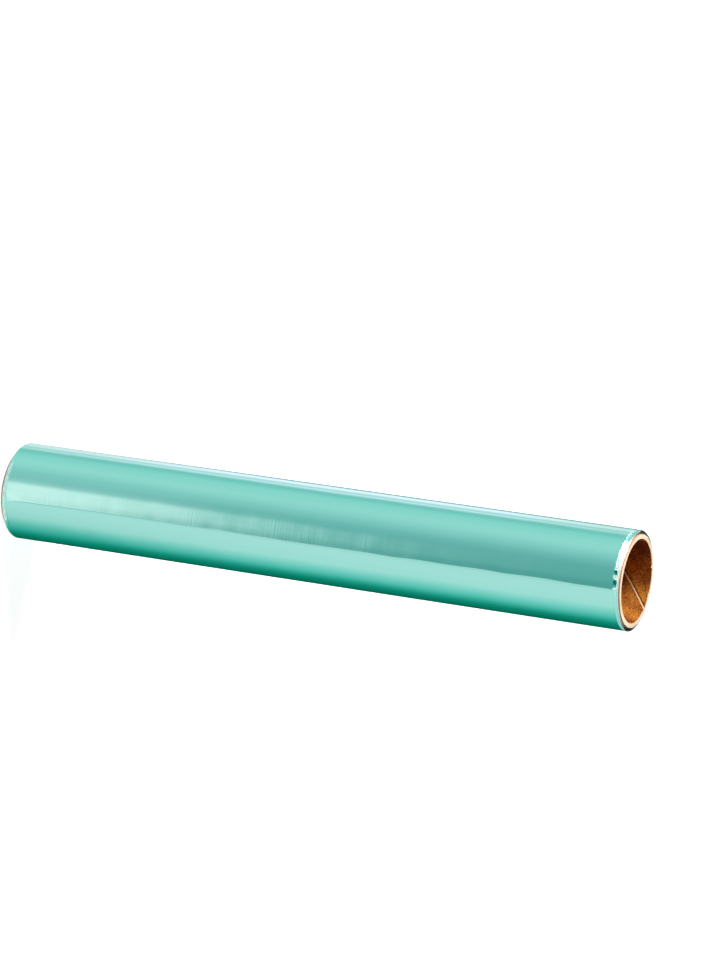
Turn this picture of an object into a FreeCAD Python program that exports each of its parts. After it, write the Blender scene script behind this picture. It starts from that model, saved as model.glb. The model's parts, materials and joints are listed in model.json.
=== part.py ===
import FreeCAD, Part
import math
import os

# Kitchen roll of coloured aluminium foil on a spiral-wound cardboard core, standing on its end.
# Z runs up the axis of the roll. The origin is the middle of the core's lower end.
# Lengths are in millimetres. Angles are in degrees about Z, counted from +X towards +Y.

# Foil winding. The real foil is about 0.015 thick and makes some ninety turns.
# The turns drawn here are coarser, so that they can be seen on the end faces.
foil_width = 300.0
winding_thickness = 1.75
winding_clearance = 0.05
drawn_turns = 6
turn_gap = 0.07
turn_gap_depth = 0.5
tail_angle = -78.5

# Crushed stretch of the upper edge, where the turns are pushed over towards the core.
crush_angle = -125.0
crush_half_span = 60.0
crush_depth = 1.1

# Nicks torn in the outer turns of the upper edge: angle, width along the edge, depth down it.
nicks = [(-96.0, 2.0, 0.8), (-84.0, 3.2, 1.0)]
nick_reach = 0.7

# Core tube, which stands out beyond the foil at both ends.
core_bore_diameter = 36.8
core_wall = 2.05
core_overhang = 1.35

# Open seam between the edges of the board strip that lines the bore. It is a left-hand helix.
seam_lead = 94.0
seam_top_angle = 55.1
seam_width = 0.7
seam_depth = 0.45

# How far a cutting solid runs past the faces that it has to break through.
overrun = 1.0

core_radius = core_bore_diameter / 2 + core_wall
core_length = foil_width + 2 * core_overhang
winding_bore_radius = core_radius + winding_clearance
winding_radius = winding_bore_radius + winding_thickness
turn_pitch = winding_thickness / drawn_turns
foil_bottom = core_overhang
foil_top = core_overhang + foil_width

up = FreeCAD.Vector(0, 0, 1)


def polar(radius, angle, height=0.0):
    """A point given by its distance from the axis, its angle and its height."""
    turn = math.radians(angle)
    return FreeCAD.Vector(radius * math.cos(turn), radius * math.sin(turn), height)


def turned(shape, angle):
    """The shape turned about the axis of the roll."""
    copy = shape.copy()
    copy.rotate(FreeCAD.Vector(0, 0, 0), up, angle)
    return copy


def spiral_arcs(first_half_turn, last_half_turn, offset=0.0):
    """The line between two turns of foil, drawn as half circles that run smoothly into each other.
    It starts at the tail's angle on the bore of the winding, and each half turn brings it out by
    half a pitch."""
    edges = []
    for half_turn in range(first_half_turn, last_half_turn):
        side = tail_angle + 180 * (half_turn % 2)
        centre = polar(turn_pitch / 4, side + 180)
        radius = winding_bore_radius + turn_pitch * (2 * half_turn + 1) / 4 + offset
        ends = [centre + polar(radius, side + turned_by) for turned_by in (0, 90, 180)]
        edges.append(Part.Arc(*ends).toShape())
    return edges


def line_between(first, second):
    """The straight edge from one point to another."""
    return Part.LineSegment(first, second).toShape()


def wound_body():
    """The winding as one solid: its outermost turn is a spiral that ends in the tail's step."""
    outer_turn = spiral_arcs(2 * drawn_turns - 2, 2 * drawn_turns)
    start = polar(winding_radius - turn_pitch, tail_angle)
    end = polar(winding_radius, tail_angle)
    outline = Part.Wire(outer_turn + [line_between(end, start)])
    outer = Part.Face(outline).extrude(up * foil_width)
    outer.translate(up * foil_bottom)
    bore = Part.makeCylinder(winding_bore_radius, foil_width + 2 * overrun)
    bore.translate(up * (foil_bottom - overrun))
    return outer.cut(bore)


def turn_gap_cutter(height):
    """The spiral gap between the turns. It starts half a turn in, clear of the winding's bore,
    and ends at the foot of the tail's step."""
    first_half_turn = 1
    last_half_turn = 2 * drawn_turns - 2
    inner = spiral_arcs(first_half_turn, last_half_turn, -turn_gap / 2)
    outer = spiral_arcs(first_half_turn, last_half_turn, turn_gap / 2)
    start_radius = winding_bore_radius + turn_pitch * first_half_turn / 2
    end_radius = winding_bore_radius + turn_pitch * last_half_turn / 2
    ends = []
    for radius, angle in ((start_radius, tail_angle + 180), (end_radius, tail_angle)):
        ends.append(line_between(polar(radius - turn_gap / 2, angle), polar(radius + turn_gap / 2, angle)))
    outline = Part.Wire(Part.sortEdges(inner + outer + ends)[0])
    return Part.Face(outline).extrude(up * height)


def crush_cutter():
    """What lies outside a cone that leans on the crushed stretch. The cone's axis is moved off the
    roll's axis, so that the slope is deepest at the crush angle and runs out on both sides."""
    shift = winding_thickness / (1 - math.cos(math.radians(crush_half_span)))
    top_radius = winding_bore_radius + shift
    slope = winding_thickness / crush_depth
    height = crush_depth + 2 * overrun
    bottom_radius = top_radius + slope * (crush_depth + overrun)
    cone = Part.makeCone(bottom_radius, top_radius - slope * overrun, height)
    block = Part.makeCylinder(bottom_radius + 2 * shift, height)
    cutter = block.cut(cone)
    cutter.translate(polar(-shift, crush_angle, foil_top - crush_depth - overrun))
    return cutter


def nick_cutter(angle, width, depth):
    """A wedge that opens at the upper edge and reaches through the outer turns only."""
    inside = winding_radius - nick_reach
    outside = winding_radius + overrun
    rise = (depth + overrun) / depth
    tip = FreeCAD.Vector(inside, 0, foil_top - depth)
    left = FreeCAD.Vector(inside, -rise * width / 2, foil_top + overrun)
    right = FreeCAD.Vector(inside, rise * width / 2, foil_top + overrun)
    wedge = Part.Face(Part.makePolygon([tip, left, right, tip]))
    wedge = wedge.extrude(FreeCAD.Vector(outside - inside, 0, 0))
    return turned(wedge, angle)


def foil_winding():
    """All the turns of foil, pressed together into one piece."""
    body = wound_body()
    gap_height = turn_gap_depth + overrun
    for start_height in (foil_bottom - overrun, foil_top - turn_gap_depth):
        gap = turn_gap_cutter(gap_height)
        gap.translate(up * start_height)
        body = body.cut(gap)
    body = body.cut(crush_cutter())
    for angle, width, depth in nicks:
        body = body.cut(nick_cutter(angle, width, depth))
    return body


def seam_cutter():
    """A flat bar that follows the seam up the whole bore and runs past both ends."""
    bore_radius = core_bore_diameter / 2
    height = core_length + 2 * overrun
    start_angle = seam_top_angle + 360 * (core_length + overrun) / seam_lead
    path = Part.Wire(Part.makeLongHelix(seam_lead, height, bore_radius, 0, True).Edges)
    inside = bore_radius - seam_depth
    outside = bore_radius + seam_depth
    half_height = seam_width / 2 * math.hypot(1, seam_lead / (2 * math.pi * bore_radius))
    corners = [
        FreeCAD.Vector(inside, 0, -half_height),
        FreeCAD.Vector(outside, 0, -half_height),
        FreeCAD.Vector(outside, 0, half_height),
        FreeCAD.Vector(inside, 0, half_height),
    ]
    section = Part.makePolygon(corners + corners[:1])
    bar = path.makePipeShell([section], True, True)
    bar = turned(bar, start_angle)
    bar.translate(up * -overrun)
    return bar


def paper_core():
    """The tube of glued board that the foil is wound on."""
    tube = Part.makeCylinder(core_radius, core_length)
    bore = Part.makeCylinder(core_bore_diameter / 2, core_length + 2 * overrun)
    bore.translate(up * -overrun)
    return tube.cut(bore).cut(seam_cutter())


pieces = {
    "foil_winding": foil_winding(),
    "paper_core": paper_core(),
}

os.makedirs("parts", exist_ok=True)
for name, shape in pieces.items():
    shape.exportStep("parts/" + name + ".step")
    print(name, "solids", len(shape.Solids), "valid", shape.isValid(), "volume", round(shape.Volume, 1))
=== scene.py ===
# %% [markdown]
# # A roll of tinted kitchen foil
# The object is thin aluminium foil, lacquered blue-green, wound on a brown cardboard tube.
# The solids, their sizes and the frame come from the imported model. Z is the axis of the roll, and
# the roll stands on its end. This script gives the two pieces the surface of the real ones, turn
# by turn and ply by ply, and sets up a small studio in which the foil can be seen.

# %% Load the frame
import json
import math

import bmesh
import bpy
import numpy as np
from mathutils import Matrix, Vector


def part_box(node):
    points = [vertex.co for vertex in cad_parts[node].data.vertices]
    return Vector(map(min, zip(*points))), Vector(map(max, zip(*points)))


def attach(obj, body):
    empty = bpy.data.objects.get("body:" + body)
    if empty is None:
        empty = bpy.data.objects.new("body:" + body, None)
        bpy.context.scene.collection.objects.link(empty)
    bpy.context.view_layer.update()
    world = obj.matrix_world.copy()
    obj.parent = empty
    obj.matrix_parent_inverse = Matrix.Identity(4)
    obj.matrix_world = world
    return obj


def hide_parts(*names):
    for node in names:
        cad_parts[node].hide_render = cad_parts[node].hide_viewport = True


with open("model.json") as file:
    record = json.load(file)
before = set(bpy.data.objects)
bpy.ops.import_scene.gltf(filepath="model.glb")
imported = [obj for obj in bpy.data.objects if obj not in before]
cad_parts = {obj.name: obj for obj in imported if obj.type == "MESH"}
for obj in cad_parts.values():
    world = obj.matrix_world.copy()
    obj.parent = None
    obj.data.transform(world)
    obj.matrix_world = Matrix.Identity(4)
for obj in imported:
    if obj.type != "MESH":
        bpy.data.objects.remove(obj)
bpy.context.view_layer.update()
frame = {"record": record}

MM = 0.001

# %% [markdown]
# Every size that the solids settle is read from the frame, so the pieces made here fit the ones
# that they stand for. The tail is where the outermost turn ends. Its angle is counted from +X
# towards +Y, as all angles here are.

# %% Sizes taken from the frame
foil_low, foil_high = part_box("foil_winding")
core_low, core_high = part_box("paper_core")
bore_mount = next(m for m in frame["record"]["mounts"] if m["name"] == "core_bore")

winding_radius = -foil_low.y
core_radius = core_high.x
winding_clearance = 0.05 * MM
winding_bore_radius = core_radius + winding_clearance
core_bore_radius = bore_mount["dims"]["r_mm"] * MM
tail_angle = -78.5
print("winding", winding_radius, "core", core_radius, "bore", core_bore_radius)

# %% [markdown]
# Colours are written as sRGB hex values, as a paint chart gives them. Blender's shaders want
# linear light, so one function turns the one into the other.

# %% Colour helper
def linear(hex_colour):
    """Linear RGBA of an sRGB hex colour."""
    parts = [int(hex_colour[i:i + 2], 16) / 255 for i in (1, 3, 5)]
    return [c / 12.92 if c <= 0.04045 else ((c + 0.055) / 1.055) ** 2.4 for c in parts] + [1.0]


# %% [markdown]
# A node tree is a list of small machines joined by wires. One helper adds a machine, sets its
# switches and plugs its inputs, so that each material reads as a short list.

# %% Node helpers
def add_node(tree, kind, inputs=None, **settings):
    """Adds a node, sets its properties, and fills its inputs with values or with other sockets."""
    node = tree.nodes.new(kind)
    for name, value in settings.items():
        setattr(node, name, value)
    for name, value in (inputs or {}).items():
        if isinstance(value, bpy.types.NodeSocket):
            tree.links.new(value, node.inputs[name])
        else:
            node.inputs[name].default_value = value
    return node


def new_material(name):
    """A material with an empty node tree."""
    material = bpy.data.materials.new(name)
    material.use_nodes = True
    material.node_tree.nodes.clear()
    return material, material.node_tree


def wire_output(tree, kind, shader_socket):
    """Adds the output node of a tree and wires the finished shader to it."""
    output = tree.nodes.new(kind)
    tree.links.new(shader_socket, output.inputs["Surface"])


def add_principled(tree, inputs):
    """The standard surface shader with its inputs, wired to the material's output."""
    shader = add_node(tree, "ShaderNodeBsdfPrincipled", inputs)
    wire_output(tree, "ShaderNodeOutputMaterial", shader.outputs["BSDF"])


def object_place(tree):
    """The place on the object, in metres."""
    return add_node(tree, "ShaderNodeTexCoord").outputs["Object"]


def add_noise(tree, place, scale, detail, roughness=0.5):
    """A cloudy pattern from 0 to 1."""
    return add_node(tree, "ShaderNodeTexNoise", {
        "Vector": place, "Scale": scale, "Detail": detail, "Roughness": roughness}).outputs["Fac"]


def add_bump(tree, strength, distance, height, beneath=None):
    """The normal of a surface with a relief on it, which can lie over another relief."""
    inputs = {"Strength": strength, "Distance": distance, "Height": height}
    if beneath is not None:
        inputs["Normal"] = beneath
    return add_node(tree, "ShaderNodeBump", inputs).outputs["Normal"]


def compute(tree, operation, *values):
    """The result of one sum on sockets and numbers."""
    node = add_node(tree, "ShaderNodeMath", dict(enumerate(values)), operation=operation)
    return node.outputs["Value"]


def rescale(tree, value, start, end, low=0.0, high=1.0):
    """Low where a value is at start, high where it is at end, and held there beyond them."""
    node = add_node(tree, "ShaderNodeMapRange", {
        "Value": value, "From Min": start, "From Max": end, "To Min": low, "To Max": high})
    return node.outputs["Result"]


def blend_colours(tree, share_of_second, first, second):
    """A mix of two colours, each a hex value, a linear colour or a socket."""
    node = add_node(tree, "ShaderNodeMix", {"Factor": share_of_second}, data_type="RGBA")
    for name, value in (("A", first), ("B", second)):
        target = next(s for s in node.inputs if s.name == name and s.type == "RGBA")
        if isinstance(value, bpy.types.NodeSocket):
            tree.links.new(value, target)
        else:
            target.default_value = linear(value) if isinstance(value, str) else value
    return next(s for s in node.outputs if s.type == "RGBA")


# %% [markdown]
# ## Tinted foil
# Kitchen foil is pure aluminium, cold rolled to about 0.015 mm. The rolls leave lines along the
# sheet, which run round the roll once it is wound. This foil has a clear blue-green lacquer on its
# outer face: the metal below still mirrors the room, tinted by the lacquer, and the lacquer adds a
# thin white gloss of its own. So the shader is a metal whose colour is the tint, under a weak clear
# coat. The rolling lines are finer than a pixel, and they are drawn coarser here, one every 0.8 mm.
# They come in patches, where the sheet slipped between the rolls.

# %% Tinted foil material
def tinted_foil():
    """Cold-rolled aluminium foil with a clear blue-green lacquer."""
    material, tree = new_material("tinted_foil")
    place = object_place(tree)
    round_the_roll = add_node(tree, "ShaderNodeMapping", {"Vector": place, "Scale": (30, 30, 1250)})
    along_the_roll = add_node(tree, "ShaderNodeMapping", {"Vector": place, "Scale": (420, 420, 9)})
    rolling = add_noise(tree, round_the_roll.outputs["Vector"], scale=1.0, detail=3.0, roughness=0.6)
    handling = add_noise(tree, along_the_roll.outputs["Vector"], scale=1.0, detail=2.0)
    slack = add_noise(tree, place, scale=34.0, detail=2.0)
    in_patches = rescale(tree, slack, 0.42, 0.62, 0.014, 0.05)
    relief = add_bump(tree, in_patches, 0.2 * MM, rolling)
    relief = add_bump(tree, 0.09, 0.2 * MM, handling, relief)
    relief = add_bump(tree, 0.08, 2.0 * MM, slack, relief)
    add_principled(tree, {
        "Base Color": blend_colours(tree, handling, "#a1e1d8", "#9ddfd4"), "Metallic": 1.0,
        "Roughness": rescale(tree, rolling, 0.0, 1.0, 0.10, 0.15),
        "Coat Weight": 0.2, "Coat Roughness": 0.08, "Normal": relief})
    return material


foil_material = tinted_foil()
print("material", foil_material.name)

# %% [markdown]
# ## Bare foil edges
# The lacquer lies on the face only. Where the sheet was slit, and where it is crushed or torn, the
# metal is bare silver. Seen on end, the wound edges catch the light in fine broken rings.

# %% Bare aluminium material
def bare_aluminium():
    """Slit and crumpled foil edges, with no lacquer."""
    material, tree = new_material("bare_aluminium")
    grain = add_noise(tree, object_place(tree), scale=1800.0, detail=3.0)
    add_principled(tree, {
        "Base Color": blend_colours(tree, grain, "#d3dede", "#f6f8f8"), "Metallic": 1.0,
        "Roughness": 0.24, "Normal": add_bump(tree, 0.2, 0.1 * MM, grain)})
    return material


edge_material = bare_aluminium()
print("material", edge_material.name)

# %% [markdown]
# Where the outer turns are torn, the lacquered face of the next ones is creased into the nick. Its
# faces get the foil's tint made much darker, a painted shade for the shadow inside the nick.

# %% Nick foil with painted shade
def nick_foil_painted_shade():
    """Lacquered foil in the folds of a nick: the same tint, darkened as a painted shade."""
    material, tree = new_material("nick_foil_painted_shade")
    add_principled(tree, {"Base Color": linear("#1d6a5d"), "Metallic": 1.0, "Roughness": 0.4})
    return material


nick_shade_material = nick_foil_painted_shade()
print("material", nick_shade_material.name)

# %% [markdown]
# ## The winding
# A wound roll is one long sheet, so its end face is a spiral and not a set of rings. The mesh
# follows that spiral: a column of points for each small angle, and on each end face one band of
# points for each drawn turn. After a full circle the bands have moved out by one pitch, and they
# are welded to the start of the next ones. The real turns are 0.015 mm thick. They are drawn about
# ten times as thick, so that the rings can be seen from close by. The list called share says how
# far round the circle each column stands, from 0 at the tail to 1 back at the tail. The columns
# stand closer together where the edge is crushed, and closest at the tail, because the shape is
# finest there.

# %% Winding layout
drawn_turns = 12
groove_depth = 0.22 * MM
winding_thickness = winding_radius - winding_bore_radius
turn_pitch = winding_thickness / drawn_turns
crush_from, tail_from = 0.74, 0.96
share = np.concatenate([
    np.linspace(0.0, crush_from, 400, endpoint=False),
    np.linspace(crush_from, tail_from, 170, endpoint=False),
    np.linspace(tail_from, 1.0, 51),
])
columns = len(share) - 1


def smooth_step(value, start, end):
    """0 before start, 1 after end, and a soft change between them."""
    t = np.clip((value - start) / (end - start), 0.0, 1.0)
    return t * t * (3 - 2 * t)


def degrees_from(angle, centre):
    """Degrees between an angle and a centre, the short way round."""
    return np.abs((angle - centre + 180) % 360 - 180)


def stretch(angle, centre, full, gone):
    """1 within some degrees of a centre, 0 beyond some more, and a soft change between them."""
    return 1 - smooth_step(degrees_from(angle, centre), full, gone)


def outward_share(radius):
    """0 at the bore of the winding and 1 at its outer face."""
    return (radius - winding_bore_radius) / winding_thickness


def line_radius(line):
    """Distance from the axis of the line below a turn, for every column."""
    if line == 0:
        return np.full(columns + 1, winding_bore_radius)
    return winding_bore_radius + turn_pitch * (line - 1 + share)


print("columns", columns, "pitch of the drawn turns in mm", round(turn_pitch / MM, 3))

# %% [markdown]
# ## The tail
# The last turn ends in a cut edge that runs down the whole roll. It was torn off against a serrated
# blade, so it wanders a little, and it doesn't lie flat: over its last few millimetres it stands
# off the turn below. The flap is tilted there, so it mirrors another part of the room than the
# sheet beside it does, and the eye finds the tail by that sharp change from dark to light. Towards
# the lower end a narrow lip at the very edge is bent up more, and draws a thin dark line.

# %% Tail edge
tail_shift = 1.1
tail_recess = 0.35 * MM
flap_lift = 0.41 * MM
flap_reach = 5.0 * MM
lip_lift = 0.14 * MM
lip_reach = 0.35 * MM
sheet = 0.03 * MM
back_from_tail = (1 - share) * 2 * math.pi * winding_radius


def height_share(height):
    """0 at the foil's lower edge and 1 at its upper edge."""
    return (height - foil_low.z) / (foil_high.z - foil_low.z)


def tail_line(height):
    """Angle of the tail edge at a height, with its bends in degrees."""
    part = height_share(height)
    ends = 1.6 * (1 - smooth_step(part, 0.0, 0.25)) + 0.9 * smooth_step(part, 0.93, 1.0)
    slow = 0.3 * np.sin(9.0 * part + 3.2) + 0.14 * np.sin(41 * part)
    quick = 0.38 * np.sin(66 * part + 2.94) * smooth_step(part, 0.5, 0.7)
    teeth = 0.2 * np.arcsin(np.sin(160 * part)) * np.sin(17 * part + 0.5)
    return tail_angle + tail_shift + ends + (slow + quick) + teeth


def flap_rise(height):
    """How far the flap stands off the turn below at a height, for every column."""
    part = height_share(height)
    clear_of_end = smooth_step(part, 0.0, 0.02)
    lip_part = 1 - smooth_step(part, 0.3, 0.42)
    flap = flap_lift * np.clip(1 - back_from_tail / flap_reach, 0.0, 1.0) ** 1.5
    lip = lip_lift * lip_part * np.clip(1 - back_from_tail / lip_reach, 0.0, 1.0)
    return clear_of_end * (flap + lip)


print("tail angle at mid height", round(float(tail_line(core_high.z / 2)), 2))

# %% [markdown]
# ## Damage at the upper end
# The upper edge has been knocked. Over about a third of the way round, the turns are pushed down
# and in towards the core, and beside that the outermost turns are nicked. The crushed stretch is a
# cone that leans over, so it is deepest in the middle and runs out on both sides.

# %% Crushed edge and nicks
crush_angle = -125.0
crush_half_span = 60.0
crush_depth = 1.1 * MM
# Each nick has an angle, a width along the edge and a depth down it.
nicks = [(-96.0, 2.0 * MM, 0.8 * MM), (-84.0, 3.2 * MM, 1.0 * MM)]
nick_reach = 0.55 * MM
nick_slope = 0.8 * turn_pitch


def upper_limit(radius, angle):
    """Height that the damaged upper end reaches, at a distance from the axis and an angle."""
    shift = winding_thickness / (1 - math.cos(math.radians(crush_half_span)))
    turn = np.radians(angle - crush_angle)
    lean = np.hypot(radius * np.cos(turn) + shift, radius * np.sin(turn))
    beyond = np.maximum(0.0, lean - winding_bore_radius - shift)
    height = foil_high.z - crush_depth * beyond / winding_thickness
    inner = winding_radius - nick_reach
    for nick_angle, width, depth in nicks:
        away = np.radians(degrees_from(angle, nick_angle)) * winding_radius
        bite = np.maximum(0.0, 1 - 2 * away / width) * depth
        height = height - bite * smooth_step(radius, inner, inner + nick_slope)
    return height


lowest = float(upper_limit(winding_radius, crush_angle))
print("crush depth in mm", round((foil_high.z - lowest) / MM, 2))

# %% [markdown]
# Crushed foil folds into small flat facets, and these flash like broken glass. Three waves of
# straight folds, each a whole number to the circle, give facets that close up on themselves. The
# folds shift from turn to turn, so the turns come apart a little. The shift follows the radius,
# which is what keeps the spiral unbroken.

# %% Crumpled facets
fold_height = 0.3 * MM


def fold_wave(value):
    """A wave made of straight folds, from -1 to 1."""
    return np.arcsin(np.sin(value)) * 2 / math.pi


def crumple(angle, phase):
    """Facets along the edge, from about -1 to 1."""
    turn = np.radians(angle)
    broad = 0.5 * fold_wave(31 * turn + phase)
    middle = 0.35 * fold_wave(73 * turn + 2.1 * phase + 1.0)
    return broad + middle + 0.25 * fold_wave(151 * turn + 3.3 * phase + 0.7)


def crushed_part(angle):
    """1 along the crushed stretch of the upper edge and 0 elsewhere."""
    return stretch(angle, crush_angle, 36, 62)


def torn_part(angle):
    """1 inside a nick and 0 elsewhere, for every angle."""
    torn = 0 * angle
    for nick_angle, width, _ in nicks:
        away = np.radians(degrees_from(angle, nick_angle)) * winding_radius
        torn = np.maximum(torn, 1 - smooth_step(away, 0.5 * width, 0.5 * width + 0.25 * MM))
    return torn


def edge_folds(radius, angle):
    """How far the crumpled edge stands up or down. It grows from the core outwards."""
    phase = 7.0 - 0.9 * (winding_radius - radius) / turn_pitch
    return fold_height * crumple(angle, phase) * crushed_part(angle) * outward_share(radius)


print("facets at the middle of the crush", round(float(crumple(crush_angle, 0.0)), 2))

# %% [markdown]
# The wound edges never line up exactly. Each turn stands a little higher or lower than the one
# below it, by a few hundredths of a millimetre, and the height changes slowly along the sheet. A
# few sine waves along the unrolled length give that, with no random numbers. At the upper end the
# inner turns also stand further out than the outer ones, as in most rolls that have been carried
# about, and handling has rounded the outermost turns over.

# %% End faces
shoulder_drop = 0.18 * MM
shoulder_reach = 0.4 * MM
worn_drop = 0.25 * MM
worn_reach = 0.9 * MM
telescoped = 0.75 * MM
far_rise = 0.6 * MM
near_drop = 0.35 * MM
worn_angle, near_angle, far_angle = -62, -84, 80
# The crown of each turn, between the grooves beside it, as shares of its width.
crown_from, crown_to = 0.14, 0.86


def edge_stagger(turns):
    """How far the edge of the sheet stands up or down after that many turns."""
    slow = 0.05 * np.sin(2.3 * turns + 1.1) + 0.035 * np.sin(7.7 * turns + 0.3)
    quick = 0.02 * np.sin(61.0 * turns) * np.sin(3.1 * turns)
    return (slow + quick) * MM


def worn_part(angle):
    """1 where handling has rounded the edge most, beside the crush, and 0 elsewhere."""
    return stretch(angle, worn_angle, 42, 64)


def near_side(angle):
    """1 on the side that faces the camera, where the lower edge is creased, and 0 elsewhere."""
    return stretch(angle, near_angle, 32, 50)


def far_side(angle):
    """1 on the side away from the camera, where the upper end stands a little higher."""
    return stretch(angle, far_angle, 60, 110)


def shoulder(radius, angle, sign):
    """How far the end face lies below its level: rounded outside, and telescoped at the upper end."""
    upper = float(sign > 0)
    worn = worn_part(angle) * upper
    reach = shoulder_reach + worn_reach * worn
    inward = np.clip((radius - winding_radius + reach) / reach, 0.0, 1.1)
    outward = outward_share(radius)
    drop = shoulder_drop + worn_drop * worn + near_drop * near_side(angle) * (1 - upper)
    rounded = drop * inward ** 2 * (1 - upper * torn_part(angle))
    return rounded - upper * (telescoped * (1 - outward) + far_rise * far_side(angle) * outward)


def end_rows(sign, base):
    """The rows of points across an end face, from the bore out. Each is (radius, height)."""
    angle = tail_line(base) + 360 * share
    rows = []
    for band in range(drawn_turns):
        last = band == drawn_turns - 1
        inner = line_radius(band)
        width = line_radius(band + 1) - inner
        full = np.clip(width / turn_pitch, 0.0, 1.0)
        crown = edge_stagger(np.maximum(band - 1 + share, 0.0))
        sunk = crown - groove_depth
        if last:
            sunk = sunk + groove_depth * smooth_step(share, tail_from, 1.0)
        rows.append((inner, base + sign * (sunk - shoulder(inner, angle, sign))))
        for part in (crown_from, crown_to):
            radius = inner + width * part + (flap_rise(base) if last else 0.0)
            height = sunk + (crown - sunk) * full
            rows.append((radius, base + sign * (height - shoulder(radius, angle, sign))))
    return rows


print("rows on an end face", len(end_rows(1, foil_high.z)))

# %% [markdown]
# The wall is the face that everyone sees. It is a smooth spiral, and three things move it: the
# flap stands off, the sheet has a slight slackness, and the ends are burred, creased and crumpled.

# %% Wall
# The pitch of the pleats is in millimetres, as the small movements in wall_radius are.
pleat_pitch = 0.6
wall_heights = np.concatenate([
    foil_low.z + np.concatenate([np.arange(0.0, 2.0, 0.15), [2.4]]) * MM,
    np.linspace(foil_low.z + 4 * MM, foil_high.z - 5 * MM, 45),
    foil_high.z - np.array([3.2, 2.2, 1.6, 1.15, 0.8, 0.5, 0.28, 0.12, 0.0]) * MM,
])


def wall_radius(height, angle):
    """Distance from the axis of the outer face at one height, for every column."""
    turn = np.radians(angle)
    whole = 1 - torn_part(angle)
    from_top, from_bottom = (foil_high.z - height) / MM, (height - foil_low.z) / MM
    slack = 0.012 * np.sin(5 * turn + 40 * height) + 0.008 * np.sin(9 * turn - 95 * height + 1.0)
    burr = 0.04 * (1 + np.sin(37 * turn) * np.sin(101 * turn + 2.0))
    burr = burr * (whole * math.exp(-from_top / 0.3) + math.exp(-from_bottom / 0.3))
    bulge = 0.05 * (1 + crumple(angle, 4.0)) * crushed_part(angle) * math.exp(-from_top / 0.4) * whole
    pleats = fold_wave(2 * math.pi * from_bottom / pleat_pitch + 1.5 * crumple(angle, 2.0))
    creased = near_side(angle) * (1 - smooth_step(from_bottom, 1.6, 2.0))
    creases = ((0.05 + 0.015 * crumple(angle, 5.0)) * pleats - 0.08) * creased
    moved = (slack + burr + bulge + creases) * MM
    return line_radius(drawn_turns) + flap_rise(height) + moved


print("wall rows", len(wall_heights))

# %% [markdown]
# The section of the winding is one closed loop: up the wall, in over the upper end, down the bore
# and out under the lower end. Each corner of the loop is a row of points right round the roll.
# Quads join each row to the next. At the tail the loop is left open, and two points on each level
# close it: the tip of the gap under the tail, and the lower side of the tail's edge.

# %% Rows of the section
def polar_points(radius, angle, height):
    """Points from arrays of radius, angle in degrees and height."""
    turn = np.radians(angle)
    return np.stack([radius * np.cos(turn), radius * np.sin(turn), height + 0 * turn], axis=-1)


def wall_rows():
    """The rows of the wall, from the lower edge to the upper one."""
    rows = []
    spiral = line_radius(drawn_turns)
    uneven = edge_stagger(drawn_turns - 1 + share)
    for height in wall_heights:
        part = height_share(height)
        angle = tail_line(height) + 360 * share
        near_top, near_bottom = smooth_step(part, 0.985, 1.0), 1 - smooth_step(part, 0.0, 0.01)
        damage = (foil_high.z - upper_limit(spiral, angle)) * smooth_step(part, 0.95, 1.0)
        folds = edge_folds(spiral, angle) * near_top
        above = (uneven - shoulder(spiral, angle, 1)) * near_top
        below = (uneven - shoulder(spiral, angle, -1)) * near_bottom
        level = height - damage + folds + above - below
        rows.append(polar_points(wall_radius(height, angle), angle, level))
    return rows


def other_rows():
    """The rows over the upper end, down the bore and under the lower end."""
    rows = []
    angle = tail_line(foil_high.z) + 360 * share
    for radius, height in reversed(end_rows(1, foil_high.z)):
        drop = foil_high.z - upper_limit(radius, angle)
        rows.append(polar_points(radius, angle, height - drop + edge_folds(radius, angle)))
    for height in (foil_high.z - 3 * MM, foil_low.z + 3 * MM):
        rows.append(polar_points(line_radius(0), tail_line(height) + 360 * share, height))
    for radius, height in end_rows(-1, foil_low.z):
        rows.append(polar_points(radius, tail_line(foil_low.z) + 360 * share, height))
    return rows


def tail_points(level, row):
    """The two points that close the loop under the tail at one level of the wall."""
    height = wall_heights[level]
    foot, edge = row[0], row[-1]
    foot_radius, edge_radius = math.hypot(foot[0], foot[1]), math.hypot(edge[0], edge[1])
    from_end = min(height - foil_low.z, foil_high.z - height)
    depth = tail_recess * float(smooth_step(from_end, 0.2 * MM, 2.5 * MM))
    angle = float(tail_line(height))
    step = edge_radius - foot_radius
    inner = foot_radius + step * crown_from
    outer = edge_radius - (sheet if depth else step * crown_from)
    rise = edge[2] - foot[2]
    tip = polar_points(np.array(inner), np.array(angle - math.degrees(depth / winding_radius)), foot[2])
    under = polar_points(np.array(outer), np.array(angle), foot[2] + rise * crown_to)
    return tip, under


wall = wall_rows()
rows = wall + other_rows()
print("rows in the section", len(rows))

# %% [markdown]
# Torn bits of foil stand up along the crushed edge. Each is a short strip that tapers to a point
# and curls over outwards. It grows out of the turns and has a thickness, as the sheet has.

# %% Torn slivers
# Each sliver has an angle, a width and a length in millimetres, and its curl in degrees. Its root
# starts below the edge, by millimetres too.
slivers = [
    (-161.0, 1.1, 0.6, 60), (-149.0, 0.8, 0.7, 100), (-138.0, 1.2, 0.6, 80), (-127.0, 0.8, 0.8, 110),
    (-116.0, 1.0, 0.6, 95), (-106.5, 0.7, 0.7, 115), (-101.0, 0.7, 0.5, 100), (-90.5, 0.6, 0.5, 100),
    (-76.0, 0.5, 0.4, 90),
]
sliver_steps = 6
sliver_sheet = 0.05 * MM
sliver_root = 0.35


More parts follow.
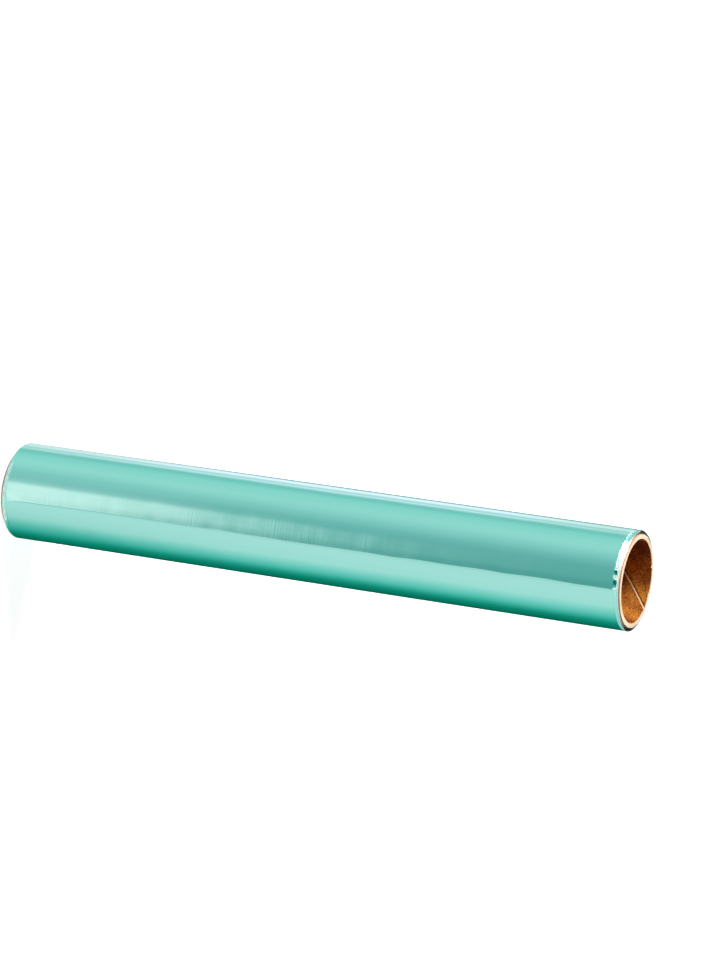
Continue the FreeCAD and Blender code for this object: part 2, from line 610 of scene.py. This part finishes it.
def sliver_points(angle, width, length, curl):
    """Sections of one sliver, four points each, from its root to its tip."""
    turn = math.radians(angle)
    outward = Vector((math.cos(turn), math.sin(turn), 0))
    along, upward = Vector((-math.sin(turn), math.cos(turn), 0)), Vector((0, 0, 1))
    root_radius = winding_radius - 0.3 * MM
    root_height = float(upper_limit(root_radius, angle)) - sliver_root * MM
    place = outward * root_radius + upward * root_height
    sections = []
    for step in range(sliver_steps + 1):
        part = step / sliver_steps
        lean = math.radians(80 - curl * part)
        ahead = outward * math.cos(lean) + upward * math.sin(lean)
        face = upward * math.cos(lean) - outward * math.sin(lean)
        half = (width / 2 * (1 - part) ** 0.7 + 0.04) * MM
        skew = along * (0.25 * width * part * math.sin(7 * turn)) * MM
        for side, level in ((-1, -1), (1, -1), (1, 1), (-1, 1)):
            sections.append(place + skew + along * side * half + face * level * sliver_sheet / 2)
        place = place + ahead * (length + sliver_root) * MM / sliver_steps
    return sections


def sliver_faces(first):
    """Faces of one sliver whose points start at a number."""
    faces = [(first + 3, first + 2, first + 1, first)]
    for step in range(sliver_steps):
        low, high = first + 4 * step, first + 4 * step + 4
        for corner in range(4):
            after = (corner + 1) % 4
            faces.append((low + corner, low + after, high + after, high + corner))
    last = first + 4 * sliver_steps
    faces.append((last, last + 1, last + 2, last + 3))
    return faces


print("slivers", len(slivers))

# %% [markdown]
# The rows become one closed mesh. The wall is tinted. So are steep faces elsewhere, and the turns
# that handling has smoothed or folded over the edge, because what shows there is the lacquered
# face. All the rest is bare metal, and so are a few scuffs at the lower edge.

# %% Materials of the winding's faces
tinted_face, bare_edge, nick_shade_face = 0, 1, 2
rows_per_turn = 3
scuffed_rows = 9
steep_limit = 0.3
# The angle of every face at the upper end, from -360 to 0.
end_angle = (tail_line(foil_high.z) + 360 * share[:-1] + 360) % 360 - 360


def face_materials(row, steep):
    """The material of each face between one row of the section and the next."""
    past_edge = row - (len(wall) - 1)
    outermost = 0 <= past_edge < 1 + 4 * rows_per_turn
    outer_turns = 0 <= past_edge < 1 + 8 * rows_per_turn
    smoothed = (worn_part(end_angle) > 0.02) & (crushed_part(end_angle) < 0.55)
    rolled_over = np.abs(end_angle + 180) < 42 + 9 * crumple(end_angle, 1.0)
    pushed_in = np.abs(end_angle + 152) < 15 + 7 * crumple(end_angle, 0.4 * row)
    folded = crumple(end_angle, 0.9 * row) > 0.5 - 0.35 * smooth_step(end_angle, -125, -102)
    tinted = steep | (past_edge < 0)
    tinted = tinted | (outer_turns & (smoothed | pushed_in)) | (outermost & (rolled_over | folded))
    kinds = np.where(tinted, tinted_face, bare_edge)
    # Faces in the nicks get the darkened foil, which paints the shadow inside them.
    kinds = np.where(outermost & (torn_part(end_angle) > 0.5), nick_shade_face, kinds)
    if row < scuffed_rows:
        scuff_limit = 1.2 - 0.95 * near_side(end_angle) - 0.5 * (np.abs(end_angle + 50) < 12)
        kinds = np.where(crumple(end_angle, 0.7 * row) > scuff_limit, bare_edge, kinds)
    return [int(kind) for kind in kinds]


first_row = face_materials(len(wall) - 1, np.zeros(columns, bool))
print("bare faces in the first row over the edge", first_row.count(bare_edge), "of", columns)

# %% Winding object
def quads_between(low, high, count, closed=False):
    """Faces that join two rows of points, given by the numbers of their first points."""
    ends = [(column, column + 1) for column in range(count)]
    if closed:
        ends[-1] = (count - 1, 0)
    return [(low + a, low + b, high + b, high + a) for a, b in ends]


def mesh_object(name, points, faces, slots, materials):
    """An object from points and faces, and the number of each face's material."""
    mesh = bpy.data.meshes.new(name)
    mesh.from_pydata(points, [], faces)
    mesh.polygons.foreach_set("material_index", slots)
    for material in materials:
        mesh.materials.append(material)
    return bpy.data.objects.new(name, mesh)


def winding_object():
    """The wound foil as one mesh, from the rows of its section, the tail's edge and the slivers."""
    points = [tuple(p) for row in rows for p in row]
    faces, slots = [], []
    grid, line = np.array(rows), columns + 1
    for row in range(len(rows)):
        after = (row + 1) % len(rows)
        across = grid[after, :-1] - grid[row, :-1]
        forward = grid[row, 1:] - grid[row, :-1]
        normal = np.cross(across, forward)
        steep = np.abs(normal[:, 2]) < steep_limit * np.linalg.norm(normal, axis=1)
        faces += quads_between(row * line, after * line, columns)
        slots += face_materials(row, steep)
    strips = []
    for level in range(len(wall)):
        strips.append((level * line, len(points), len(points) + 1, level * line + columns))
        points += [tuple(p) for p in tail_points(level, wall[level])]
    for low, high in zip(strips, strips[1:]):
        for corner in range(3):
            faces.append((low[corner], low[corner + 1], high[corner + 1], high[corner]))
            slots.append(tinted_face if corner == 0 else bare_edge)
    for sliver in slivers:
        new_faces = sliver_faces(len(points))
        points += [tuple(p) for p in sliver_points(*sliver)]
        faces += new_faces
        slots += [bare_edge] * len(new_faces)
    materials = (foil_material, edge_material, nick_shade_material)
    return mesh_object("wound_foil", points, faces, slots, materials)


def close_up(thing, weld, sharp):
    """Welds points that meet, fills what is open, turns all faces outwards and smooths the rest."""
    shape = bmesh.new()
    shape.from_mesh(thing.data)
    bmesh.ops.remove_doubles(shape, verts=shape.verts, dist=weld)
    bmesh.ops.dissolve_degenerate(shape, edges=shape.edges, dist=weld / 4)
    open_edges = [e for e in shape.edges if e.is_boundary]
    if open_edges:
        bmesh.ops.holes_fill(shape, edges=open_edges)
    bmesh.ops.recalc_face_normals(shape, faces=shape.faces)
    left_open = sum(1 for e in shape.edges if not e.is_manifold)
    triangles = sum(len(f.verts) - 2 for f in shape.faces)
    shape.to_mesh(thing.data)
    shape.free()
    thing.data.polygons.foreach_set("use_smooth", [True] * len(thing.data.polygons))
    thing.data.set_sharp_from_angle(angle=math.radians(sharp))
    bpy.context.scene.collection.objects.link(thing)
    print(thing.name, "triangles", triangles, "open edges before", len(open_edges), "after", left_open)
    return thing


foil = close_up(winding_object(), weld=0.0012 * MM, sharp=28.0)
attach(foil, "root")
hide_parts("foil_winding")

# %% [markdown]
# ## Core board
# The core is spiral-wound tube board: strips of brown paper, glued and wound over a rod, then cut
# to length with a knife. It has three looks. The bore is brown board with short fibres. The
# knife-cut ends are pale and show the plies as thin rings. The outer ply is a smoother, pinkish
# paper. Paper is matt, so the roughness is high and the specular level low. The fibres are drawn
# coarser than they are, so that they can be seen at the photograph's size.

# %% Board materials
def glue_lines(tree, colour, place, clouds, ply_mm):
    """A board colour with the glue between its plies drawn as thin brown rings round the axis."""
    flat = add_node(tree, "ShaderNodeVectorMath", {0: place, 1: (1, 1, 0)}, operation="MULTIPLY")
    radius = add_node(tree, "ShaderNodeVectorMath", {0: flat.outputs["Vector"]}, operation="LENGTH")
    plies = compute(tree, "DIVIDE", radius.outputs["Value"], ply_mm * MM)
    phase = compute(tree, "FRACT", compute(tree, "MULTIPLY_ADD", clouds, 0.5, plies))
    return blend_colours(tree, rescale(tree, phase, 0.0, 0.25, 0.5, 0.0), colour, "#b07f50")


def board(name, light, dark, fibre_mm, relief_mm, ply_mm=None):
    """Tube board: two tones of pulp, mixed by noise the size of its fibres and of its clouds."""
    material, tree = new_material(name)
    place = object_place(tree)
    fibres = add_noise(tree, place, scale=1 / (fibre_mm * MM), detail=5.0, roughness=0.65)
    clouds = add_noise(tree, place, scale=60.0, detail=1.0)
    pulp = compute(tree, "MULTIPLY", fibres, clouds)
    colour = blend_colours(tree, rescale(tree, pulp, 0.18, 0.34), dark, light)
    if ply_mm:
        colour = glue_lines(tree, colour, place, clouds, ply_mm)
    add_principled(tree, {
        "Base Color": colour, "Roughness": 0.85, "Specular IOR Level": 0.2,
        "Normal": add_bump(tree, 0.6, relief_mm * MM, fibres)})
    return material


board_materials = [
    board("kraft_tube_board", "#dc8c33", "#662203", fibre_mm=0.65, relief_mm=0.3),
    board("knife_cut_board", "#f5e4ca", "#d8c1a1", fibre_mm=0.5, relief_mm=0.08, ply_mm=0.54),
    board("smooth_outer_ply", "#eda077", "#cf7d52", fibre_mm=0.5, relief_mm=0.05),
    # The lip board is lightened as a painted highlight; the gap board is dark as painted shade.
    board("seam_lip_painted_light_board", "#ffd6a6", "#f0b47c", fibre_mm=0.6, relief_mm=0.08),
    board("seam_gap_painted_shade", "#6b3813", "#452008", fibre_mm=0.6, relief_mm=0.08),
]
bore_board, cut_board, outer_ply, seam_lip_painted_light, seam_gap_painted_shade = range(5)
print("boards", [material.name for material in board_materials])

# %% [markdown]
# ## The core
# The strip that lines the bore doesn't quite meet itself, so an open seam climbs the bore as a
# left-hand screw. If every column of the mesh climbs with it, the seam is simply a few columns
# whose points are set back by a ply. Beside it one edge of the strip stands up a little. That lip
# is the pale line in the bore: pale cut board, made lighter still as a painted highlight. The gap
# behind it is given a dark board as painted shade.

# %% Core layout
seam_lead = 94.0 * MM
seam_top_angle = 55.1
seam_width = 0.45 * MM
seam_depth = 0.45 * MM
lip_width = 0.75 * MM
lip_height = 0.14 * MM
rim_columns = 280

rise_angle = math.atan(seam_lead / (2 * math.pi * core_bore_radius))


def seam_degrees(width):
    """Angle round the bore that a width square to the seam takes up."""
    return math.degrees(width / math.sin(rise_angle) / core_bore_radius)


def seam_columns():
    """Angles of the columns from the middle of the seam, and how far each is set back."""
    half, lip, step = seam_degrees(seam_width / 2), seam_degrees(lip_width), 0.12
    seam = [(-half - lip - step, 0.0), (-half - lip, -lip_height), (-half - lip / 2, -1.2 * lip_height),
            (-half, -lip_height), (-half + step, seam_depth), (half, seam_depth), (half + step, 0.0)]
    rest = np.linspace(seam[-1][0], seam[0][0] + 360, rim_columns)[1:-1]
    around = np.array([angle for angle, _ in seam] + list(rest))
    return around, np.array([back for _, back in seam] + [0.0] * len(rest))


around, set_back = seam_columns()
print("seam climbs at", round(math.degrees(rise_angle), 1), "degrees; columns", len(around))

# %% [markdown]
# A knife never leaves a perfect rim. There is a fine burr all round the inner edge, and in a few
# places a tuft of the inner ply has been pulled up and folded into the bore.

# %% Core mesh
# Each tuft has an angle, a half width in degrees, and how far it stands into the bore, in
# millimetres. Below zero it is a dent in the rim.
tufts = [(113.0, 2.0, 1.0), (108.5, 1.5, -0.5), (73.0, 1.8, 0.9), (77.0, 1.4, -0.5), (52.0, 2.5, -0.3),
         (42.0, 1.8, 0.7), (150.0, 3.0, 0.3), (-20.0, 2.5, 0.2)]
outer_bevel, inner_bevel, rim_margin = 0.05 * MM, 0.1 * MM, 0.4 * MM
climb_rows = 150
# The first columns of the bore are the seam: three faces of the lip, in board lightened as a
# painted highlight, and two of the gap, in dark board as painted shade.
seam_materials = [seam_lip_painted_light] * 3 + [seam_gap_painted_shade] * 2


def rim_burr():
    """How far the inner edge of the rim stands into the bore, for every column."""
    turn = np.radians(around)
    burr = 0.05 * np.sin(23 * turn) * np.sin(71 * turn + 1.0) + 0.03 * fold_wave(131 * turn)
    for angle, width, size in tufts:
        away = (around + seam_top_angle - angle + 180) % 360 - 180
        burr = burr + size * np.exp(-(away / width) ** 2)
    return burr * MM


def core_rows():
    """Rows of the tube's section, each with the material of the faces that start from it."""
    top, bottom, wall_thickness = core_high.z, core_low.z, core_radius - core_bore_radius
    rows, kinds = [], []

    def add_row(radius, height, kind):
        twist = 360 * (top - height) / seam_lead
        rows.append(polar_points(radius + 0 * around, around + seam_top_angle + twist, height))
        kinds.append(kind)

    climbs = np.linspace(top - rim_margin, bottom + rim_margin, climb_rows)
    bore = core_bore_radius + set_back
    rim_steps = [core_bore_radius + wall_thickness * part for part in (0.25, 0.5, 0.75)]
    add_row(core_radius - outer_bevel, top, cut_board)
    for radius in reversed(rim_steps):
        add_row(radius, top, cut_board)
    add_row(bore + inner_bevel - rim_burr(), top, bore_board)
    for height in climbs:
        add_row(bore, height, bore_board)
    add_row(bore + inner_bevel, bottom, cut_board)
    for radius in rim_steps:
        add_row(radius, bottom, cut_board)
    add_row(core_radius - outer_bevel, bottom, outer_ply)
    for height in climbs[::-1]:
        add_row(core_radius, height, outer_ply)
    return rows, kinds


def core_object():
    """The tube as one closed mesh."""
    section, kinds = core_rows()
    count = len(around)
    points = [tuple(p) for row in section for p in row]
    faces, slots = [], []
    for row, kind in enumerate(kinds):
        after = (row + 1) % len(section)
        faces += quads_between(row * count, after * count, count, closed=True)
        seam = seam_materials if kind == bore_board else []
        slots += seam + [kind] * (count - len(seam))
    return mesh_object("wound_core", points, faces, slots, board_materials)


core = close_up(core_object(), weld=0.0001 * MM, sharp=35.0)
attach(core, "root")
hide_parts("paper_core")

# %% [markdown]
# ## The studio
# Foil is a mirror, so what it shows is the room. A product photographer puts broad soft panels
# round a roll and leaves dark gaps between them, and the roll turns those into long light and dark
# bands. The world stands for that ring of panels. Each entry below is a compass angle, the
# brightness there, and a cast: the higher it is, the more red a dim part of the room has lost.

# %% Ring of panels
panels = [
    (-180, 0.90, 4.0), (-160, 0.93, 3.4), (-148, 0.88, 2.8), (-134, 0.77, 2.2), (-120, 0.63, 2.0),
    (-106, 0.54, 2.0), (-79, 0.50, 2.0), (-73, 0.97, 2.0), (-62, 1.00, 2.0), (-36, 1.00, 2.0),
    (-22, 0.99, 4.0), (-8, 0.87, 4.0), (6, 0.73, 4.0), (20, 0.52, 4.0), (32, 0.34, 4.0),
    (46, 0.25, 4.0), (70, 0.13, 4.0), (98, 0.20, 4.0), (112, 0.70, 3.0), (118, 0.90, 2.0),
    (124, 1.05, 2.0), (131, 1.02, 2.0), (138, 0.84, 2.0), (143, 0.86, 2.0), (147, 1.02, 2.0),
    (152, 0.80, 2.5), (159, 0.72, 2.8), (170, 0.85, 3.5), (180, 0.90, 4.0),
]
brightest = 2.0


def panel_colour(brightness, cast):
    """Light of a panel, as a share of the brightest light in the room."""
    blue_cast = 1 + (cast - 2) / 8
    red, green, blue = brightness ** cast, brightness, brightness ** blue_cast
    return [red / brightest, green / brightest, blue / brightest, 1.0]


def compass_ramp(tree, compass, stops):
    """A colour ramp over the compass, whose stops are angles and linear colours."""
    ramp = add_node(tree, "ShaderNodeValToRGB", {"Fac": compass})
    elements = ramp.color_ramp.elements
    while len(elements) < len(stops):
        elements.new(0.5)
    for element, (angle, colour) in zip(elements, stops):
        element.position = (angle + 180) / 360
        element.color = colour
    return ramp.outputs["Color"]


print("panels", len(panels))

# %% [markdown]
# Soft patches lie over the ring. The window is low on the camera's side. The roll shows it as a
# pale wedge that runs out before the middle, so it comes in two steps of height, with a faint glow
# beside the lower one. The blind next to it makes the sheet darker along the tail. The shade dims
# the ring towards the lower end. Two strip lights behind the roll draw the cool white lines along
# its far edge, and the rear light fills in below them. Above the ring is a bright dome with one
# dark part, which the wound edges mirror towards the camera. Below it everything is bright again,
# as a white table is. Heights are the Z of a ray of length 1, and each pair is where a patch starts
# and where it is full.

# %% Room seen by the foil
window_stops = [(-119, 0.0), (-113, 0.12), (-109, 0.27), (-105, 0.65), (-100.5, 1.0), (-90, 1.0),
                (-76, 0.95), (-66, 0.0)]
cool_white = [1.6 / brightest, 1.22 / brightest, 1.5 / brightest, 1.0]
patches = {
    "shade": ([(-50, 0.0), (-15, 0.5), (8, 1.0), (26, 0.6), (45, 0.0)],
              [(-0.41, -0.60)], panel_colour(0.35, 4.0)),
    "glow": ([(-136, 0.0), (-123, 0.22), (-112, 0.25), (-104, 0.0)],
             [(-0.43, -0.45)], panel_colour(1.1, 2.1)),
    "window, first step": (window_stops, [(-0.388, -0.43)], panel_colour(0.85, 2.3)),
    "window, second step": (window_stops, [(-0.427, -0.449)], panel_colour(1.27, 2.1)),
    "blind": ([(-92, 0.0), (-90, 0.05), (-87.4, 0.2), (-84.3, 0.36), (-81, 0.54), (-72, 0.5),
               (-65, 0.2), (-58, 0.0)],
              [(-0.466, -0.446)], panel_colour(0.36, 2.2)),
    "strip lights": ([(113, 0.0), (120, 0.7), (124, 1.0), (131, 1.0), (136, 0.2), (141, 0.1),
                      (145, 0.6), (149, 0.35), (154, 0.0)],
                     [(-0.49, -0.43), (-0.335, -0.365)], cool_white),
    "rear light": ([(90, 0.0), (100, 0.7), (112, 1.0), (122, 0.8), (132, 0.0)],
                   [(-0.42, -0.46)], panel_colour(0.95, 1.0)),
}
table_heights, table_colour = (-0.62, -0.80), panel_colour(0.95, 2.0)
dome_heights, dome_colour = (-0.24, -0.1), panel_colour(1.12, 1.0)
dark_direction, dark_colour = Vector((0.0, 0.92, 0.39)), [0.012, 0.011, 0.01, 1.0]
dark_cosines = (0.85, 0.94)


def foil_room(tree):
    """The light that a mirror sees, by the direction of the ray."""
    ray = add_node(tree, "ShaderNodeTexCoord").outputs["Generated"]
    split = add_node(tree, "ShaderNodeSeparateXYZ", {"Vector": ray})
    turn = compute(tree, "ARCTAN2", split.outputs["Y"], split.outputs["X"])
    compass = rescale(tree, turn, -math.pi, math.pi)

    def by_height(heights):
        return rescale(tree, split.outputs["Z"], *heights)

    room = compass_ramp(tree, compass, [(angle, panel_colour(b, c)) for angle, b, c in panels])
    for stops, fades, colour in patches.values():
        weight = compass_ramp(tree, compass, [(a, [w, w, w, 1.0]) for a, w in stops])
        for heights in fades:
            weight = compute(tree, "MULTIPLY", weight, by_height(heights))
        room = blend_colours(tree, weight, room, colour)
    room = blend_colours(tree, by_height(table_heights), room, table_colour)
    towards_dark = add_node(tree, "ShaderNodeVectorMath", {
        0: ray, 1: dark_direction}, operation="DOT_PRODUCT").outputs["Value"]
    dome = blend_colours(tree, rescale(tree, towards_dark, *dark_cosines), dome_colour, dark_colour)
    return blend_colours(tree, by_height(dome_heights), room, dome)


print("patches", list(patches))

# %% [markdown]
# Only mirror rays see that room. Matt things, such as the board, get a plain soft light, which is
# brighter low down, as it is over a white table. The camera sees plain white, and it does so
# through clear things too.

# %% World
soft_heights, soft_strengths = (0.10, 0.30), (1.0, 0.18)


def seen_by_camera(tree):
    """1 for rays that come from the camera, through clear things too, and 0 for the rest."""
    ray = add_node(tree, "ShaderNodeLightPath").outputs
    return compute(tree, "MAXIMUM", ray["Is Camera Ray"], ray["Is Transmission Ray"])


def add_background(tree, colour, strength):
    """A shader that shines with one colour or with that of a socket."""
    return add_node(tree, "ShaderNodeBackground", {
        "Color": colour, "Strength": strength}).outputs["Background"]


def studio_world():
    """White for the camera, the panels for mirrors, and soft light for the rest."""
    world = bpy.data.worlds.new("studio")
    world.use_nodes = True
    tree = world.node_tree
    tree.nodes.clear()
    ray = add_node(tree, "ShaderNodeTexCoord").outputs["Generated"]
    upward = add_node(tree, "ShaderNodeSeparateXYZ", {"Vector": ray}).outputs["Z"]
    mirrored = add_background(tree, foil_room(tree), brightest)
    soft = add_background(tree, (1, 1, 1, 1), rescale(tree, upward, *soft_heights, *soft_strengths))
    white = add_background(tree, (1, 1, 1, 1), 1.0)
    glossy = add_node(tree, "ShaderNodeLightPath").outputs["Is Glossy Ray"]
    for_rays = add_node(tree, "ShaderNodeMixShader", {0: glossy, 1: soft, 2: mirrored})
    for_all = add_node(tree, "ShaderNodeMixShader", {
        0: seen_by_camera(tree), 1: for_rays.outputs["Shader"], 2: white})
    wire_output(tree, "ShaderNodeOutputWorld", for_all.outputs["Shader"])
    return world


bpy.context.scene.world = studio_world()
print("world", bpy.context.scene.world.name)

# %% [markdown]
# The floor is a plain white card. It keeps a faint shadow of the roll. A light of its own, for the
# camera alone, brings it up to the white behind it. It is left out of mirror reflections, so that
# the foil shows the panels and not the card under it.

# %% Floor
floor_half_width = 8.0
floor_lift = 0.78


def studio_floor():
    """A large flat sheet under the roll."""
    shape = bmesh.new()
    bmesh.ops.create_grid(shape, x_segments=4, y_segments=4, size=floor_half_width)
    mesh = bpy.data.meshes.new("studio_floor")
    shape.to_mesh(mesh)
    shape.free()
    material, tree = new_material("white_card")
    card = add_node(tree, "ShaderNodeBsdfDiffuse", {"Color": linear("#e6e6e6")})
    lift = compute(tree, "MULTIPLY", seen_by_camera(tree), floor_lift)
    glow = add_node(tree, "ShaderNodeEmission", {"Strength": lift})
    both = add_node(tree, "ShaderNodeAddShader", {0: card.outputs["BSDF"], 1: glow.outputs["Emission"]})
    wire_output(tree, "ShaderNodeOutputMaterial", both.outputs["Shader"])
    mesh.materials.append(material)
    floor = bpy.data.objects.new("studio_floor", mesh)
    bpy.context.scene.collection.objects.link(floor)
    floor.visible_glossy = False
    return floor


floor = studio_floor()
print("floor", tuple(round(v, 1) for v in floor.dimensions))

# %% [markdown]
# One soft lamp stands above the open end and to one side. It lights the cut board and one side of
# the bore, and leaves the other side of the bore in shade.

# %% Key lamp
def soft_lamp(name, compass, elevation, distance, size, watts, target):
    """A square panel lamp that points at a target."""
    light = bpy.data.lights.new(name, "AREA")
    light.energy = watts
    light.size = size
    lamp = bpy.data.objects.new(name, light)
    turn, rise = math.radians(compass), math.radians(elevation)
    away = Vector((math.cos(turn) * math.cos(rise), math.sin(turn) * math.cos(rise), math.sin(rise)))
    lamp.location = target + away * distance
    lamp.rotation_euler = away.to_track_quat("Z", "Y").to_euler()
    bpy.context.scene.collection.objects.link(lamp)
    return lamp


open_end = Vector((0, 0, core_high.z))
key = soft_lamp("key_lamp", compass=190, elevation=42, distance=1.4, size=0.7, watts=33.0,
                target=open_end)
print("lamp at", tuple(round(v, 2) for v in key.location))

# %% [markdown]
# ## The camera
# The photograph shows the roll lying down. The part stands on its end, so the camera is turned on
# its side instead: it stands higher than the open end and looks down at the roll, and its picture
# is turned until the roll runs across it with the open end to the right.

# %% Camera
camera_place = Vector((0.0, -1.64178, 0.87819))
camera_heading = -0.9236
camera_dip = 23.4199
picture_turn = 98.072
camera_lens = 150.72


def photo_camera():
    """The camera at the photograph's place, direction and turn."""
    data = bpy.data.cameras.new("photo_camera")
    data.lens = camera_lens
    data.sensor_width = 36.0
    camera = bpy.data.objects.new("photo_camera", data)
    heading, dip = math.radians(camera_heading), math.radians(camera_dip)
    level = math.cos(dip)
    forward = Vector((math.sin(heading) * level, math.cos(heading) * level, -math.sin(dip)))
    upright = forward.to_track_quat("-Z", "Y").to_matrix().to_4x4()
    turned = upright @ Matrix.Rotation(math.radians(picture_turn), 4, "Z")
    camera.matrix_world = Matrix.Translation(camera_place) @ turned
    bpy.context.scene.collection.objects.link(camera)
    return camera


bpy.context.scene.camera = photo_camera()
bpy.context.scene.view_settings.view_transform = "Standard"
print("camera", tuple(round(v, 3) for v in bpy.context.scene.camera.location))
